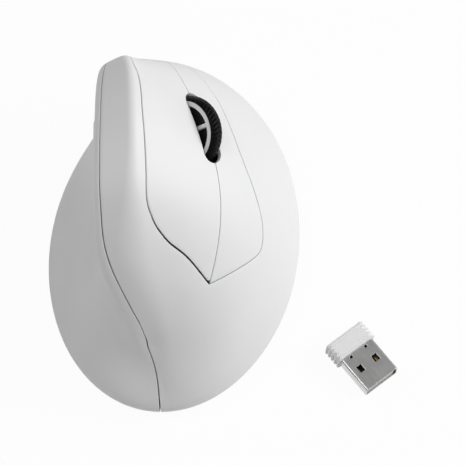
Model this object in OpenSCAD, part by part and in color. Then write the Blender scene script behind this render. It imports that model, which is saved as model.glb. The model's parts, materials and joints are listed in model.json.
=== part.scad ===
// Vertical ergonomic mouse for the right hand, with its plug-in receiver lying beside it.
// Millimetres. +Z is up from the desk, +Y points forward along the fingers, +X to the right.
// The origin is on the desk, under the middle of the base.

/* [Body] */
// Width of the base at its widest ring
body_w = 76; // [72:1:82]
// Length of the base at its widest ring
body_l = 105; // [102:1:112]
// Forward shift of the base ring for each millimetre to the right
base_lean = 0.137; // [0.1:0.001:0.17]
// Height of the widest ring above the desk
ring_h = 6; // [5.5:0.1:7]
// How far the rim tucks in below the widest ring
rim_tuck = 4; // [3.5:0.1:4.4]
// Thickness of the shells and of the keys
wall = 2; // [1.6:0.1:2.2]
// Thickness of the base plate
base_t = 2; // [1.8:0.1:2.4]
// Gap between the base plate and the shells around it
base_fit = 0.2; // [0.1:0.05:0.3]
// Thickness of the glide feet
foot_t = 1; // [0.6:0.1:1.4]

/* [Ridge] */
// Height of the ridge's spine at its highest
ridge_h = 66.2; // [65:0.2:70]
// Sideways place of the spine where it is highest
ridge_x = -17.4; // [-18:0.1:-16.8]
// Back end of the spine
ridge_back = -38; // [-40:0.5:-36]
// Front end of the spine
ridge_front = 35; // [34.5:0.5:38]
// Half the width of the flat strip along the ridge
strip_half = 5.9; // [5.5:0.1:6.3]
// Height of the strip's right edge above its middle
strip_tilt = 2.9; // [2.4:0.1:3.4]
// Forward skew of the strip's right edge at the front
strip_skew = 1.6; // [1:0.1:2.2]

/* [Keys] */
// Tilt of the plane that the keys lie along
face_tilt = 46; // [45:0.5:47]
// Gap around the keys and between them
key_gap = 0.36; // [0.3:0.02:0.5]
// Radius of the pin that the keys rock on
hinge_pin_r = 0.8; // [0.7:0.05:0.9]
// Radius of the hinge knuckles
knuckle_r = 1.8; // [1.7:0.1:2]
// Width of a key's hinge knuckle
knuckle_w = 3; // [2.6:0.1:3.2]
// Free gap between neighbouring knuckles
knuckle_gap = 0.3; // [0.2:0.05:0.5]
// Radial clearance of a pin in a piece that turns on it
run_fit = 0.06; // [0.04:0.01:0.08]
// Radial clearance of a pin in the piece that holds it
hold_fit = 0.02; // [0.01:0.01:0.03]

/* [Wheel] */
// Radius of the tyre at its crown
tyre_r = 11; // [10.6:0.1:11.2]
// Width of the tyre
tyre_w = 5; // [4.6:0.1:5.2]
// Radius of the tyre's crown across its width
crown_r = 3.2; // [3:0.1:4]
// Outside radius of the pale rim
rim_r = 9.6; // [9.2:0.1:9.7]
// Thickness of the pale rim
rim_t = 1.6; // [1.2:0.1:2]
// Number of spokes in the rim
spokes = 5; // [3:1:8]
// Width of a spoke
spoke_w = 1.3; // [1:0.1:2]
// Radius of the steel axle
axle_r = 0.9; // [0.8:0.05:1]
// Turn of the wheel in the plane of the keys
wheel_yaw = 22; // [20:0.5:24]
// Place of the wheel's centre down the slope of the face
wheel_p = -4; // [-4.4:0.1:-3.6]
// Place of the wheel's centre along the face
wheel_q = 18.4; // [18:0.1:18.8]
// Depth of the wheel's centre below the face plane
wheel_depth = 5.3; // [5:0.1:5.6]
// Gap between the tyre and the sides of its slot
slot_side = 0.6; // [0.5:0.05:0.8]
// Length of the wheel slot
slot_l = 22.2; // [22.2:0.1:24]

/* [Thumb buttons] */
// Length of a thumb button
thumb_l = 14.6; // [12:0.2:15.4]
// Height of a thumb button
thumb_h = 5.4; // [4.6:0.1:6]
// Gap between the two thumb buttons
thumb_space = 1.4; // [1:0.1:2.4]
// Gap between a thumb button and its opening
thumb_fit = 0.3; // [0.25:0.05:0.4]
// How far the thumb buttons stand out of the wall's mean plane
thumb_out = 1.5; // [1.3:0.1:2]
// Slope of the row of thumb buttons, up towards the front
thumb_slope = 10; // [8:0.5:12]

/* [Inside] */
// Height of the frame's tray below the face plane
tray_depth = 13.6; // [13.4:0.1:14]
// Thickness of the frame's tray
tray_t = 2; // [1.8:0.1:2.4]
// Thickness of the frame's upright walls
gusset_t = 2; // [1.6:0.1:2.4]
// Thickness of the circuit boards
board_t = 1.6; // [1:0.1:1.6]
// Height of the key switches
key_switch_h = 5.2; // [4.8:0.1:5.4]
// Height of the small push switches
push_switch_h = 3; // [2.9:0.1:3.2]
// How far a key switch's plunger stands out
key_plunger = 0.9; // [0.7:0.1:1]
// How far a push switch's plunger stands out
push_plunger = 1; // [0.9:0.05:1.1]
// Gap between a plunger and the piece that presses it
press_gap = 0.1; // [0.05:0.01:0.15]
// Height of the main board above the base plate
board_lift = 4.4; // [4:0.1:5]
// Radius of the opening under the sensor
sensor_hole_r = 5; // [4.4:0.1:5.6]

/* [Battery] */
// Diameter of the battery cell
cell_d = 14.5; // [13.5:0.1:14.5]
// Length of the battery cell with its nub
cell_l = 50.5; // [49.2:0.1:50.5]
// Room around the cell in its bay
cell_fit = 0.4; // [0.3:0.05:0.6]
// Thickness of the bay's walls
bay_wall = 1.2; // [1:0.1:1.4]
// Thickness of the battery door
door_t = 0.95; // [0.8:0.05:1]
// Gap around the battery door
door_fit = 0.25; // [0.2:0.05:0.4]
// How far the battery door slides to come free
door_slide = 4; // [3:0.1:4.4]

/* [Receiver] */
// Width of the plug
plug_w = 12; // [11.8:0.1:12.2]
// Height of the plug
plug_h = 4.5; // [4.4:0.05:4.6]
// Length of the plug outside the cap
plug_l = 12; // [11:0.1:13]
// Thickness of the plug's steel
plug_t = 0.3; // [0.25:0.05:0.4]
// Width of the cap
cap_w = 14; // [13.4:0.1:15]
// Height of the cap
cap_h = 6.4; // [6:0.1:7]
// Length of the cap
cap_l = 6.2; // [5.4:0.1:7]
// Number of ribs round the cap
cap_ribs = 5; // [3:1:6]
// Depth of the grooves between the ribs
rib_depth = 0.4; // [0.3:0.05:0.6]
// Place of the receiver to the right of the origin
receiver_x = 56.5; // [54:0.5:66]
// Place of the receiver behind the origin
receiver_y = -34.5; // [-40:0.5:-30]
// Direction of the plug, turned from +X
receiver_turn = -51; // [-60:1:-40]

/* [Hidden] */
$fn = 48;

// Colours
white = [0.93, 0.93, 0.94];
pale = [0.80, 0.80, 0.81];
black = [0.06, 0.06, 0.065];
dark = [0.16, 0.16, 0.17];
steel = [0.66, 0.67, 0.68];
green = [0.07, 0.30, 0.17];
gold = [0.83, 0.66, 0.30];
red = [0.62, 0.10, 0.09];

// The skin is a grid: stations go round the body from the front by the left, rows climb from the rim to the spine
stations = 72;
rim_rows = 4;
curve_rows = 12;
edge_rows = 3;
strip_rows = 2;
edge_row = rim_rows + curve_rows + edge_rows;
last_row = edge_row + strip_rows;
// How strongly the stations crowd towards the front and the back, in degrees
crowding = 20;
// Stations between which the thumb shell lies, in front and behind
seam_front = 5;
seam_back = 32;
// The thumb shell stays clear of the palm shell by this turn at its ends and this share of the lip at its top
seam_turn = 0.6;
seam_lip = 0.1;

// Sideways swing and drop of the spine's points, from the back end to the front end
ridge_swing = [10.2, 1.3, 0, 0, 0, -0.1];
ridge_drop = [44.2, 20.2, 6.4, 1.2, 0, 1.6];
spine_points = len(ridge_drop);
spine = [
    for (i = [0 : spine_points - 1])
        [
            ridge_x + ridge_swing[i],
            ridge_back + (ridge_front - ridge_back) * i / (spine_points - 1),
            ridge_h - ridge_drop[i]
        ]
];
// How blunt the strip ends are: a low power is a square end, one near 1 is a pointed end
front_power = 0.22;
back_power = 0.5;
// Handles of the skin's curve in 8 directions, from the right by the front, left and back:
// its climb from the base ring, its overhang and drop at the ridge, and the rounding of the ridge's edge
climb = [30, 29, 27, 10, 4, 4, 4, 17];
overhang = [16, 14, 2, -2, -7, -2, 8, 17];
drop = [9, 10, 14, 42, 56, 20, 8, 11];
edge_round = [2, 1.8, 2, 2.2, 2.2, 2.6, 5, 7];
// The inner side of the wall: how far the spine sinks, draws in at its ends and narrows for each millimetre
spine_sink = 1.25;
spine_draw = 0.02;
strip_draw = 0.8;

// Plane of the keys: p runs down the slope, q forward, n out of the face
face_x = 12;
face_rise = 0.75;
face_foot = 0.35;
face_z = face_foot + face_rise * ridge_h;
// Outline of the keys in p and q: the left edge from the front to the tip, the right edge back again, the seam between
key_left = [
    [-18.5, 45], [-25, 41.5], [-28.3, 37], [-28, 33], [-27, 28], [-26, 14], [-21.6, -5],
    [-16.6, -12], [-9, -16.6], [0, -19.6], [10.2, -24.4]
];
key_right = [
    [10.2, -24.4], [16.5, -19.3], [22.4, -13.6], [23.6, -10], [22, -4.4], [18.3, 1.9],
    [9.9, 15.1], [3.7, 30.5], [0.2, 38.8], [-3, 46.5]
];
key_seam = [[-12, 46], [-8.2, 28], [0.2, 8.4], [5.6, -8], [10.2, -24.4]];
// Points drawn between two points of such an outline
curve_steps = 6;
// Depth and height of the blocks that cut the keys out, from the face plane
key_block_low = 22;
key_block_high = 12;
// In front of this line the keys reach down over the edge only this far, and more towards the right
key_front_q = 28;
key_front_p = -28;
key_front_low = 8.5;
key_front_fall = 11;
// Room under that edge for the keys' dip
key_front_gap = 1.5;

// Hinge of the keys: its place along the face, and where each knuckle starts down the slope
hinge_q = -13;
hinge_n = -tray_depth - tray_t / 2;
left_knuckles = [-8, 0];
right_knuckles = [8, 14];
hinge_start = -12;
hinge_end = 20;
key_arm_q = 2.4;
// Bosses under the keys that press the switches, and those switches
left_press = [-12.5, 5];
right_press = [13, 3];
press_boss_r = 1.4;
key_switch_size = [5.8, 12.8];
key_plunger_r = 1.1;
push_switch_side = 6;
push_plunger_r = 1.6;
plunger_fit = 0.15;
plunger_in = 1;
plunger_bore = 2;

// Frame and slanted board, in the plane of the keys
tray_p = [-16.5, 16.5];
tray_q = [-10.5, 33];
board_q = -9;
board_top_n = board_t - tray_depth;
gusset_x = [-10.5, 9.5];
gusset_rear = tray_q[0];
gusset_front = 30.5;
wheel_room = [3.6, 10.2];

// Wheel cradle: its arms, its pivot behind the wheel and the tongue that presses the middle switch
arm_in = 3.4;
arm_t = 1.4;
arm_out = arm_in + arm_t;
cradle_pivot = [-15, -3.5];
cradle_pin_r = 0.75;
cradle_back = [-17, -13.2];
cradle_front = [11.6, 13];
ear_gap = 0.3;
ear_t = 1.6;
ear_r = 1.9;
tongue_x = [-4.5, -0.5];
tongue_y = 15;
middle_place = [-2.5, 14.4];
wheel_board_z = board_top_n + wheel_depth;
tongue_z = wheel_board_z + push_switch_h + push_plunger + press_gap;
tongue_t = 0.7;
// Outline of the cradle's arms, seen from the side, in the wheel's own plane
cradle_side = [
    [-17, -5.4], [-17, -1.8], [-4, 1.4], [1.5, 1.4], [13, tongue_z + tongue_t], [13, tongue_z],
    [8, tongue_z], [4, -3], [-4, -4.4]
];
encoder_size = [3.4, 9, 6];
encoder_low = -4.4;
core_t = 1.6;
hub_r = 3;
spoke_sunk = 0.3;
tyre_fit = 0.05;

// Thumb buttons, on a plane along the thumb wall: x runs back, y up, z out to the left
thumb_below_ridge = 13.2;
thumb_place = [-21.9, 4.5, ridge_h - thumb_below_ridge];
thumb_flange_out = -2.6;
thumb_flange_t = 1;
thumb_flange_rim = 1;
thumb_post_r = 1.3;
thumb_board_out = -9;
thumb_board_size = [31, 10.6];
thumb_board_low = -6;
thumb_bracket_t = 1.6;
thumb_bracket = [26, 7.5];
thumb_plunger_top = thumb_board_out + push_switch_h + push_plunger;

// Base plate and what stands on it
floor_z = foot_t + base_t;
sensor_place = [0, 9];
main_board_x = [-20, 9.6];
main_board_y = [-7.5, 29.5];
main_board_z = floor_z + board_lift;
board_posts = [[-17, -5], [7, -5], [-17, 27], [7, 27]];
post_r = 2;
lens_size = [14, 18];
lens_barrel_r = 3.4;
chip_size = [10, 12, 2.2];
// Directions of the four screws from the middle, the first two under the thumb shell, and how far in they are
thumb_screws = [150, 215];
palm_screws = [64, 300];
screw_inset = 9;
screw_r = 0.95;
screw_head_r = 2.1;
screw_head_h = 1.1;
screw_l = 8;
screw_fit = 0.15;
boss_r = 2.8;
boss_lift = 0.05;
// Glide feet: a ring round the sensor and three rounded pads
foot_ring = [6.2, 10.4];
foot_pads = [[1, 42, 90], [-1, -42, 90], [-28.5, -5, 0]];
foot_pad_size = [5, 16];
// Battery bay, door and its landing
cell_place = [19, 4];
cell_z = floor_z + cell_fit + cell_d / 2;
cell_nub = [2.6, 1.2];
contact_t = 0.4;
contact_gap = 0.8;
bay_h = 6;
bay_end_h = 11;
door_end = 1;
door_hole_short = 2.2;
grip_size = [1, 8];
grip_depth = 0.4;
// Power switch
power_place = [-13.5, 4.5];
power_travel = 3;
power_body = [4, 9.4, 3.2];
power_knob = [2.2, 3];
power_fit = 0.3;
knob_recess = 0.3;

// Receiver: how far its steel reaches into the cap, and what shows in the plug
plug_in = 2;
plug_corner = 0.6;
cap_corner = 1.2;
tongue_h = 1.9;
tongue_fit = 0.05;
window_size = [2.4, 2];
window_place = [5.5, 2.9];
dimple_size = [0.9, 1.1];
dimple_place = [0.9, 2.8];
contact_strip = [8, 1, 0.15];
contact_pitch = [-3.5, -1, 1, 3.5];
receiver_tilt = atan((cap_h - plug_h) / 2 / plug_l);

// Smooth curve between two of four values, f from 0 to 1
function blend(a, b, c, d, f) =
    b + 0.5 * f * ((c - a) + f * ((2 * a - 5 * b + 4 * c - d) + f * (3 * (b - c) + d - a)));

// Value of a closed smooth curve through a list, t list steps from its start
function ring_at(list, t) =
    let (n = len(list), i = floor(t))
    blend(list[(i + n - 1) % n], list[i % n], list[(i + 1) % n], list[(i + 2) % n], t - i);

// Point of an open smooth curve through a list of points, t list steps from its start
function path_at(list, t) =
    let (
        n = len(list),
        i = min(floor(t), n - 2),
        b = list[i],
        c = list[i + 1],
        a = i == 0 ? 2 * b - c : list[i - 1],
        d = i == n - 2 ? 2 * c - b : list[i + 2]
    )
    blend(a, b, c, d, t - i);

// Points along such a curve
function path(list) =
    [for (i = [0 : (len(list) - 1) * curve_steps]) path_at(list, i / curve_steps)];

function reverse(list) = [for (i = [len(list) - 1 : -1 : 0]) list[i]];

function unit(v) = v / norm(v);

// Direction of a station from the middle of the body, with the drawn-in ends of the thumb shell
function station(i, drawn) =
    let (
        u = 90 + 360 / stations * (i + 0.5),
        shift = !drawn ? 0 : i == seam_front ? seam_turn : i == seam_back ? -seam_turn : 0
    )
    u + shift + crowding * sin(2 * (u + shift));

// Point of the base ring in direction a, drawn in by inset, at height z
function ring(a, inset, z) =
    let (x = (body_w / 2 - inset) * cos(a))
    [x, (body_l / 2 - inset) * sin(a) + base_lean * x, z];

// Point of the spine, s from -1 at its back end to 1 at its front end
function spine_at(s, inset) =
    let (point = path_at(spine, (s + 1) / 2 * (spine_points - 1)))
    [point.x, point.y * (1 - spine_draw * inset), point.z - spine_sink * inset];

// Points of the skin at one station, from the rim up to the spine
function column(i, inset, drawn) =
    let (
        a = station(i, drawn),
        c = cos(a),
        s = sin(a),
        foot = ring(a, inset, ring_h),
        top = spine_at(s, inset),
        w = sign(c) * pow(abs(c), s > 0 ? front_power : back_power),
        lift = strip_tilt * (0.65 + 0.35 * s),
        corner = top + w * [strip_half - strip_draw * inset, strip_skew * max(s, 0), lift],
        way = (a % 360) / 45,
        level = unit([foot.x - corner.x, foot.y - corner.y, 0]),
        low = foot + [0, 0, ring_at(climb, way)],
        high = corner + ring_at(overhang, way) * level - [0, 0, ring_at(drop, way)],
        r = ring_at(edge_round, way),
        meet = corner + r * unit(high - corner),
        across = top - corner,
        edge = corner + min(r, 0.9 * norm(across)) * unit(across),
        tuck = rim_tuck - inset,
        bottom = foot_t + inset
    )
    concat(
        [
            for (j = [0 : rim_rows - 1])
                let (q = 90 * j / rim_rows)
                ring(a, inset + tuck * (1 - sin(q)), ring_h - (ring_h - bottom) * cos(q))
        ],
        [
            for (j = [0 : curve_rows])
                let (f = j / curve_rows, g = 1 - f)
                g ^ 3 * foot + 3 * f * g ^ 2 * low + 3 * f ^ 2 * g * high + f ^ 3 * meet
        ],
        [
            for (j = [1 : edge_rows])
                let (f = j / edge_rows - (drawn && j == edge_rows ? seam_lip : 0), g = 1 - f)
                g ^ 2 * meet + 2 * f * g * corner + f ^ 2 * edge
        ],
        [
            for (j = [1 : strip_rows])
                let (f = j / strip_rows)
                (1 - f) * edge + f * top
        ]
    );

// Place of a grid point in a layer's list: both sides of the strip share the points on the spine
function skin_index(i, j) =
    let (k = i % stations)
    (j == last_row ? min(k, stations - 1 - k) : k) * (last_row + 1) + j;

// Two triangles over four corners, leaving out one that has shrunk to a line
function two_triangles(a, b, c, d) =
    [
        for (t = [[a, b, c], [a, c, d]])
            if (t[0] != t[1] && t[1] != t[2] && t[2] != t[0]) t
    ];

// Closed shell over the cells of the skin that covers(i, j) picks, walled along their border
module skin_shell(covers, drawn) {
    points = [
        for (inset = [0, wall])
            for (i = [0 : stations - 1])
                each column(i, inset, drawn)
    ];
    under = stations * (last_row + 1);
    cells = [
        for (i = [0 : stations - 1])
            for (j = [0 : last_row - 1])
                if (covers(i, j)) [i, j]
    ];
    faces = [
        for (cell = cells)
            let (
                i = cell[0],
                j = cell[1],
                a = skin_index(i, j),
                b = skin_index(i, j + 1),
                c = skin_index(i + 1, j + 1),
                d = skin_index(i + 1, j)
            )
            each concat(
                two_triangles(a, b, c, d),
                two_triangles(under + a, under + d, under + c, under + b),
                j > 0 && covers(i, j - 1) ? [] : two_triangles(a, d, under + d, under + a),
                j == last_row - 1 || covers(i, j + 1) ? [] : two_triangles(c, b, under + b, under + c),
                covers((i + stations - 1) % stations, j) ? [] : two_triangles(b, a, under + a, under + b),
                covers((i + 1) % stations, j) ? [] : two_triangles(d, c, under + c, under + d)
            )
    ];
    polyhedron(points, faces);
}

// The whole body as one solid, drawn in by inset: it trims what stands under the shells
module body_solid(inset) {
    points = [for (i = [0 : stations - 1]) each column(i, inset, false)];
    sides = [
        for (i = [0 : stations - 1])
            for (j = [0 : last_row - 1])
                each two_triangles(
                    skin_index(i, j), skin_index(i, j + 1), skin_index(i + 1, j + 1), skin_index(i + 1, j)
                )
    ];
    polyhedron(points, concat(sides, [[for (i = [0 : stations - 1]) skin_index(i, 0)]]));
}

function on_thumb_side(i, j) = i >= seam_front && i < seam_back && j < edge_row;

// One mesh of its children, for sculpted pieces
module sculpted() {
    resize([0, 0, 0]) union() children();
}

// The plane of the keys, the wheel's own frame and the plane of the thumb buttons
module in_face() {
    translate([face_x, 0, face_z]) rotate([0, face_tilt, 0]) children();
}

module in_wheel() {
    in_face() translate([wheel_p, wheel_q, -wheel_depth]) rotate([0, 0, wheel_yaw]) children();
}

module in_thumb() {
    translate(thumb_place) rotate([thumb_slope, 0, 0]) rotate([90, 0, -90]) children();
}

module in_receiver() {
    translate([receiver_x, receiver_y, 0])
        rotate([0, 0, receiver_turn])
            translate([(cap_l - plug_l) / 2, 0, 0])
                rotate([0, receiver_tilt, 0])
                    translate([-cap_l, 0, 0])
                        children();
}

// Box between two corners
module box(low, high) {
    translate(low) cube(high - low);
}

// Cylinder along +X from a point
module rod(r, from, l) {
    translate(from) rotate([0, 90, 0]) cylinder(r = r, h = l);
}

// Flat shape with two round ends, its length along Y
module stadium(w, l) {
    square([w, l - w], center = true);
    for (side = [-1, 1]) translate([0, side * (l - w) / 2]) circle(d = w);
}

module rounded_rectangle(w, h, r) {
    square([w - 2 * r, h], center = true);
    square([w, h - 2 * r], center = true);
    for (x = [-1, 1], y = [-1, 1]) translate([x * (w / 2 - r), y * (h / 2 - r)]) circle(r = r);
}

// Block through the face with the outline of a key, grown by an amount
module key_block(outline, grow, front_low) {
    in_face()
        difference() {
            translate([0, 0, -key_block_low])
                linear_extrude(key_block_low + key_block_high)
                    offset(delta = grow) polygon(outline);
            translate([key_front_p, 0, -front_low])
                rotate([0, key_front_fall, 0])
                    box([-body_l, key_front_q, -2 * key_block_low], [body_l, body_l, 0]);
        }
}

module wheel_slot() {
    in_face()
        translate([wheel_p, wheel_q, -key_block_low])
            rotate([0, 0, wheel_yaw])
                linear_extrude(key_block_low + key_block_high)
                    stadium(tyre_w + 2 * slot_side, slot_l);
}

module palm_skin() {
    skin_shell(function(i, j) !on_thumb_side(i, j), false);
}

// Screw places under the shells
module at_screws(ways) {
    for (a = ways) translate(ring(a, screw_inset, 0)) children();
}

// Tall bosses under a shell that take the screws
module screw_bosses(ways) {
    intersection() {
        at_screws(ways) translate([0, 0, floor_z + boss_lift]) cylinder(r = boss_r, h = ridge_h, $fn = 24);
        body_solid(wall / 2);
    }
}

module screw_holes(ways) {
    at_screws(ways) cylinder(r = screw_r + screw_fit, h = floor_z + screw_l, $fn = 24);
}

// Arms from a key's underside to its knuckles, and the boss that presses its switch
module key_supports(knuckles, press) {
    intersection() {
        in_face() {
            for (p = knuckles)
                box([p, hinge_q - key_arm_q / 2, hinge_n], [p + knuckle_w, hinge_q + key_arm_q / 2, key_block_high]);
            translate([press.x, press.y, board_top_n + key_switch_h + key_plunger + press_gap])
                cylinder(r = press_boss_r, h = key_block_low, $fn = 24);
        }
        body_solid(wall / 2);
    }
}

module key_plate(outline, knuckles, press) {
    difference() {
        union() {
            sculpted() {
                intersection() {
                    palm_skin();
                    difference() {
                        key_block(outline, -key_gap / 2, key_front_low);
                        wheel_slot();
                    }
                }
                key_supports(knuckles, press);
            }
            in_face() for (p = knuckles) rod(knuckle_r, [p, hinge_q, hinge_n], knuckle_w);
        }
        in_face() rod(hinge_pin_r + run_fit, [hinge_start, hinge_q, hinge_n], hinge_end - hinge_start);
    }
}

// Key switch or push switch standing on z = 0, with the bore of its plunger
module switch_body(size, h, r) {
    difference() {
        translate([-size.x / 2, -size.y / 2, 0]) cube([size.x, size.y, h]);
        translate([0, 0, h - plunger_bore]) cylinder(r = r + plunger_fit, h = plunger_bore + 1);
    }
}

module plunger(h, r, out) {
    translate([0, 0, h - plunger_in]) cylinder(r = r, h = plunger_in + out);
}

module at_key_press(place) {
    in_face() translate([place.x, place.y, board_top_n]) children();
}

module at_middle_press() {
    in_wheel() translate([middle_place.x, middle_place.y, wheel_board_z]) children();
}

// Places of the two thumb buttons: side is -1 for the forward one and 1 for the back one
module at_thumb(side) {
    in_thumb() translate([side * (thumb_l + thumb_space) / 2, 0, 0]) children();
}

module thumb_opening(side) {
    at_thumb(side)
        translate([0, 0, thumb_flange_out])
            rotate([0, 0, 90])
                linear_extrude(thumb_out - thumb_flange_out + wall)
                    stadium(thumb_h + 2 * thumb_fit, thumb_l + 2 * thumb_fit);
}

module thumb_button(side) {
    at_thumb(side) {
        rotate([0, 0, 90])
            translate([0, 0, thumb_flange_out])
                linear_extrude(thumb_out - thumb_flange_out)
                    stadium(thumb_h, thumb_l);
        rotate([0, 0, 90])
            translate([0, 0, thumb_flange_out - thumb_flange_t])
                linear_extrude(thumb_flange_t)
                    stadium(thumb_h + 2 * thumb_flange_rim, thumb_l + thumb_space / 2);
        translate([0, 0, thumb_plunger_top + press_gap])
            cylinder(r = thumb_post_r, h = thumb_flange_out - thumb_plunger_top - press_gap);
    }
}

module push_switch_at_thumb(side) {
    at_thumb(side) translate([0, 0, thumb_board_out]) switch_body(
        [push_switch_side, push_switch_side], push_switch_h, push_plunger_r
    );
}

module plunger_at_thumb(side) {
    at_thumb(side) translate([0, 0, thumb_board_out]) plunger(push_switch_h, push_plunger_r, push_plunger);
}

// Battery bay: the cell's room, and the plan of the door
bay_x = [cell_place.x - cell_d / 2 - cell_fit, cell_place.x + cell_d / 2 + cell_fit];
bay_y = [
    cell_place.y - cell_l / 2 - contact_gap - contact_t,
    cell_place.y + cell_l / 2 + contact_gap + contact_t
];
door_x = [bay_x[0] - door_end / 2, bay_x[1] + door_end / 2];
door_y = [bay_y[0] + door_hole_short, bay_y[1] + door_end / 2];

module base_outline() {
    polygon([
        for (i = [0 : stations - 1])
            let (point = ring(360 / stations * i, rim_tuck + base_fit, 0))
            [point.x, point.y]
    ]);
}

module base_plate() {
    color(white)
        difference() {
            union() {
                translate([0, 0, foot_t]) linear_extrude(base_t) base_outline();
                for (post = board_posts)
                    translate([post.x, post.y, floor_z - base_t / 2])
                        cylinder(r = post_r, h = base_t / 2 + board_lift);
                for (x = [bay_x[0] - bay_wall, bay_x[1]])
                    box([x, bay_y[0] - bay_wall, foot_t + base_t / 2], [x + bay_wall, bay_y[1] + bay_wall, floor_z + bay_h]);
                for (y = [bay_y[0] - bay_wall, bay_y[1]])
                    box([bay_x[0] - bay_wall, y, foot_t + base_t / 2], [bay_x[1] + bay_wall, y + bay_wall, floor_z + bay_end_h]);
            }
            translate([sensor_place.x, sensor_place.y, 0]) cylinder(r = sensor_hole_r, h = floor_z + 1);
            at_screws(concat(thumb_screws, palm_screws)) {
                cylinder(r = screw_r + screw_fit, h = floor_z + 1);
                cylinder(r = screw_head_r + screw_fit, h = foot_t + screw_head_h + screw_fit);
            }
            box([bay_x[0], door_y[0], 0], [bay_x[1], bay_y[1], floor_z + 1]);
            box(
                [door_x[0], door_y[0] - door_slide - door_end, 0],
                [door_x[1], door_y[1], foot_t + door_t + door_fit / 2]
            );
            translate([power_place.x, power_place.y + power_travel / 2, 0])
                linear_extrude(floor_z + 1)
                    stadium(power_knob.x + 2 * power_fit, power_knob.y + power_travel + 2 * power_fit);
        }
}

module glide_feet() {
    color(dark) {
        translate([sensor_place.x, sensor_place.y, 0])
            difference() {
                cylinder(r = foot_ring[1], h = foot_t);
                translate([0, 0, -foot_t]) cylinder(r = foot_ring[0], h = 3 * foot_t);
            }
        for (pad = foot_pads)
            translate([pad[0], pad[1], 0])
                rotate([0, 0, pad[2]])
                    linear_extrude(foot_t) stadium(foot_pad_size.x, foot_pad_size.y);
    }
}

module base_screws() {
    color(steel)
        at_screws(concat(thumb_screws, palm_screws))
            translate([0, 0, foot_t])
                difference() {
                    union() {
                        cylinder(r = screw_head_r, h = screw_head_h);
                        cylinder(r = screw_r, h = screw_l);
                    }
                    translate([0, 0, -1]) linear_extrude(1 + screw_head_h / 2) {
                        square([screw_head_r * 1.3, 0.5], center = true);
                        square([0.5, screw_head_r * 1.3], center = true);
                    }
                }
}

module thumb_shell() {
    color(white)
        sculpted()
            difference() {
                union() {
                    skin_shell(function(i, j) on_thumb_side(i, j), true);
                    screw_bosses(thumb_screws);
                }
                screw_holes(thumb_screws);
                for (side = [-1, 1]) thumb_opening(side);
            }
}

module palm_shell() {
    color(white)
        sculpted()
            difference() {
                union() {
                    difference() {
                        palm_skin();
                        key_block(concat(path(key_left), path(key_right)), key_gap / 2, key_front_low + key_front_gap);
                    }
                    screw_bosses(palm_screws);
                }
                screw_holes(palm_screws);
            }
}

module left_button() {
    color(white) key_plate(concat(path(key_left), reverse(path(key_seam))), left_knuckles, left_press);
}

module right_button() {
    color(white) key_plate(concat(path(key_seam), path(key_right)), right_knuckles, right_press);
}

module key_pivot_pin() {
    color(steel) in_face() rod(hinge_pin_r, [hinge_start, hinge_q, hinge_n], hinge_end - hinge_start);
}

// Knuckles of the frame fill the hinge between those of the keys
key_knuckles = concat(left_knuckles, right_knuckles);
frame_knuckles = [
    for (i = [0 : len(key_knuckles)])
        [
            i == 0 ? hinge_start : key_knuckles[i - 1] + knuckle_w + knuckle_gap,
            i == len(key_knuckles) ? hinge_end : key_knuckles[i] - knuckle_gap
        ]
];

module key_frame() {
    color(pale)
        difference() {
            union() {
                in_face() {
                    box([tray_p[0], tray_q[0], -tray_depth - tray_t], [tray_p[1], tray_q[1], -tray_depth]);
                    box([hinge_start, tray_q[0], -tray_depth - tray_t], [hinge_end, board_q, -tray_depth]);
                    for (span = frame_knuckles) {
                        rod(knuckle_r, [span[0], hinge_q, hinge_n], span[1] - span[0]);
                        box([span[0], hinge_q, -tray_depth - tray_t], [span[1], tray_q[0] + 1, -tray_depth]);
                    }
                }
                for (y = [gusset_rear, gusset_front])
                    intersection() {
                        box([gusset_x[0], y, floor_z], [gusset_x[1], y + gusset_t, ridge_h]);
                        in_face() box([-body_l, -body_l, -2 * body_l], [body_l, body_l, hinge_n]);
                    }
                in_thumb()
                    box(
                        [-thumb_bracket.x / 2, thumb_board_low - 1, thumb_board_out - board_t - thumb_bracket_t],
                        [thumb_bracket.x / 2, thumb_board_low - 1 + thumb_bracket.y, thumb_board_out - board_t]
                    );
                in_wheel() for (side = [0, 1]) mirror([side, 0, 0]) cradle_ear();
            }
            in_face() rod(hinge_pin_r + hold_fit, [hinge_start - 1, hinge_q, hinge_n], hinge_end - hinge_start + 2);
            in_wheel() {
                box([-wheel_room.x, -wheel_room.y, -tyre_r * 2], [wheel_room.x, wheel_room.y, 0]);
                rod(cradle_pin_r + hold_fit, [-arm_out * 2, cradle_pivot.x, cradle_pivot.y], arm_out * 4);
            }
        }
}

module cradle_ear() {
    x = arm_out + ear_gap;
    rod(ear_r, [x, cradle_pivot.x, cradle_pivot.y], ear_t);
    box(
        [x, cradle_pivot.x - ear_r, wheel_depth - tray_depth - tray_t / 2],
        [x + ear_t, cradle_pivot.x + ear_r, cradle_pivot.y]
    );
}

module button_board() {
    color(green)
        difference() {
            in_face() box([tray_p[0], board_q, -tray_depth], [tray_p[1], tray_q[1], board_top_n]);
            in_wheel() {
                box([-wheel_room.x, -wheel_room.y, -tyre_r * 2], [wheel_room.x, wheel_room.y, 0]);
                box(
                    [-arm_out - ear_gap - ear_t - ear_gap, cradle_pivot.x - ear_r - ear_gap, -tyre_r * 2],
                    [arm_out + ear_gap + ear_t + ear_gap, cradle_pivot.x + ear_r + ear_gap, 0]
                );
            }
        }
}

module left_switch() {
    color(black) at_key_press(left_press) switch_body(key_switch_size, key_switch_h, key_plunger_r);
}

module right_switch() {
    color(black) at_key_press(right_press) switch_body(key_switch_size, key_switch_h, key_plunger_r);
}

module middle_switch() {
    color(black)
        at_middle_press() switch_body([push_switch_side, push_switch_side], push_switch_h, push_plunger_r);
}

module forward_switch() {
    color(black) push_switch_at_thumb(-1);
}

module back_switch() {
    color(black) push_switch_at_thumb(1);
}

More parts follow.
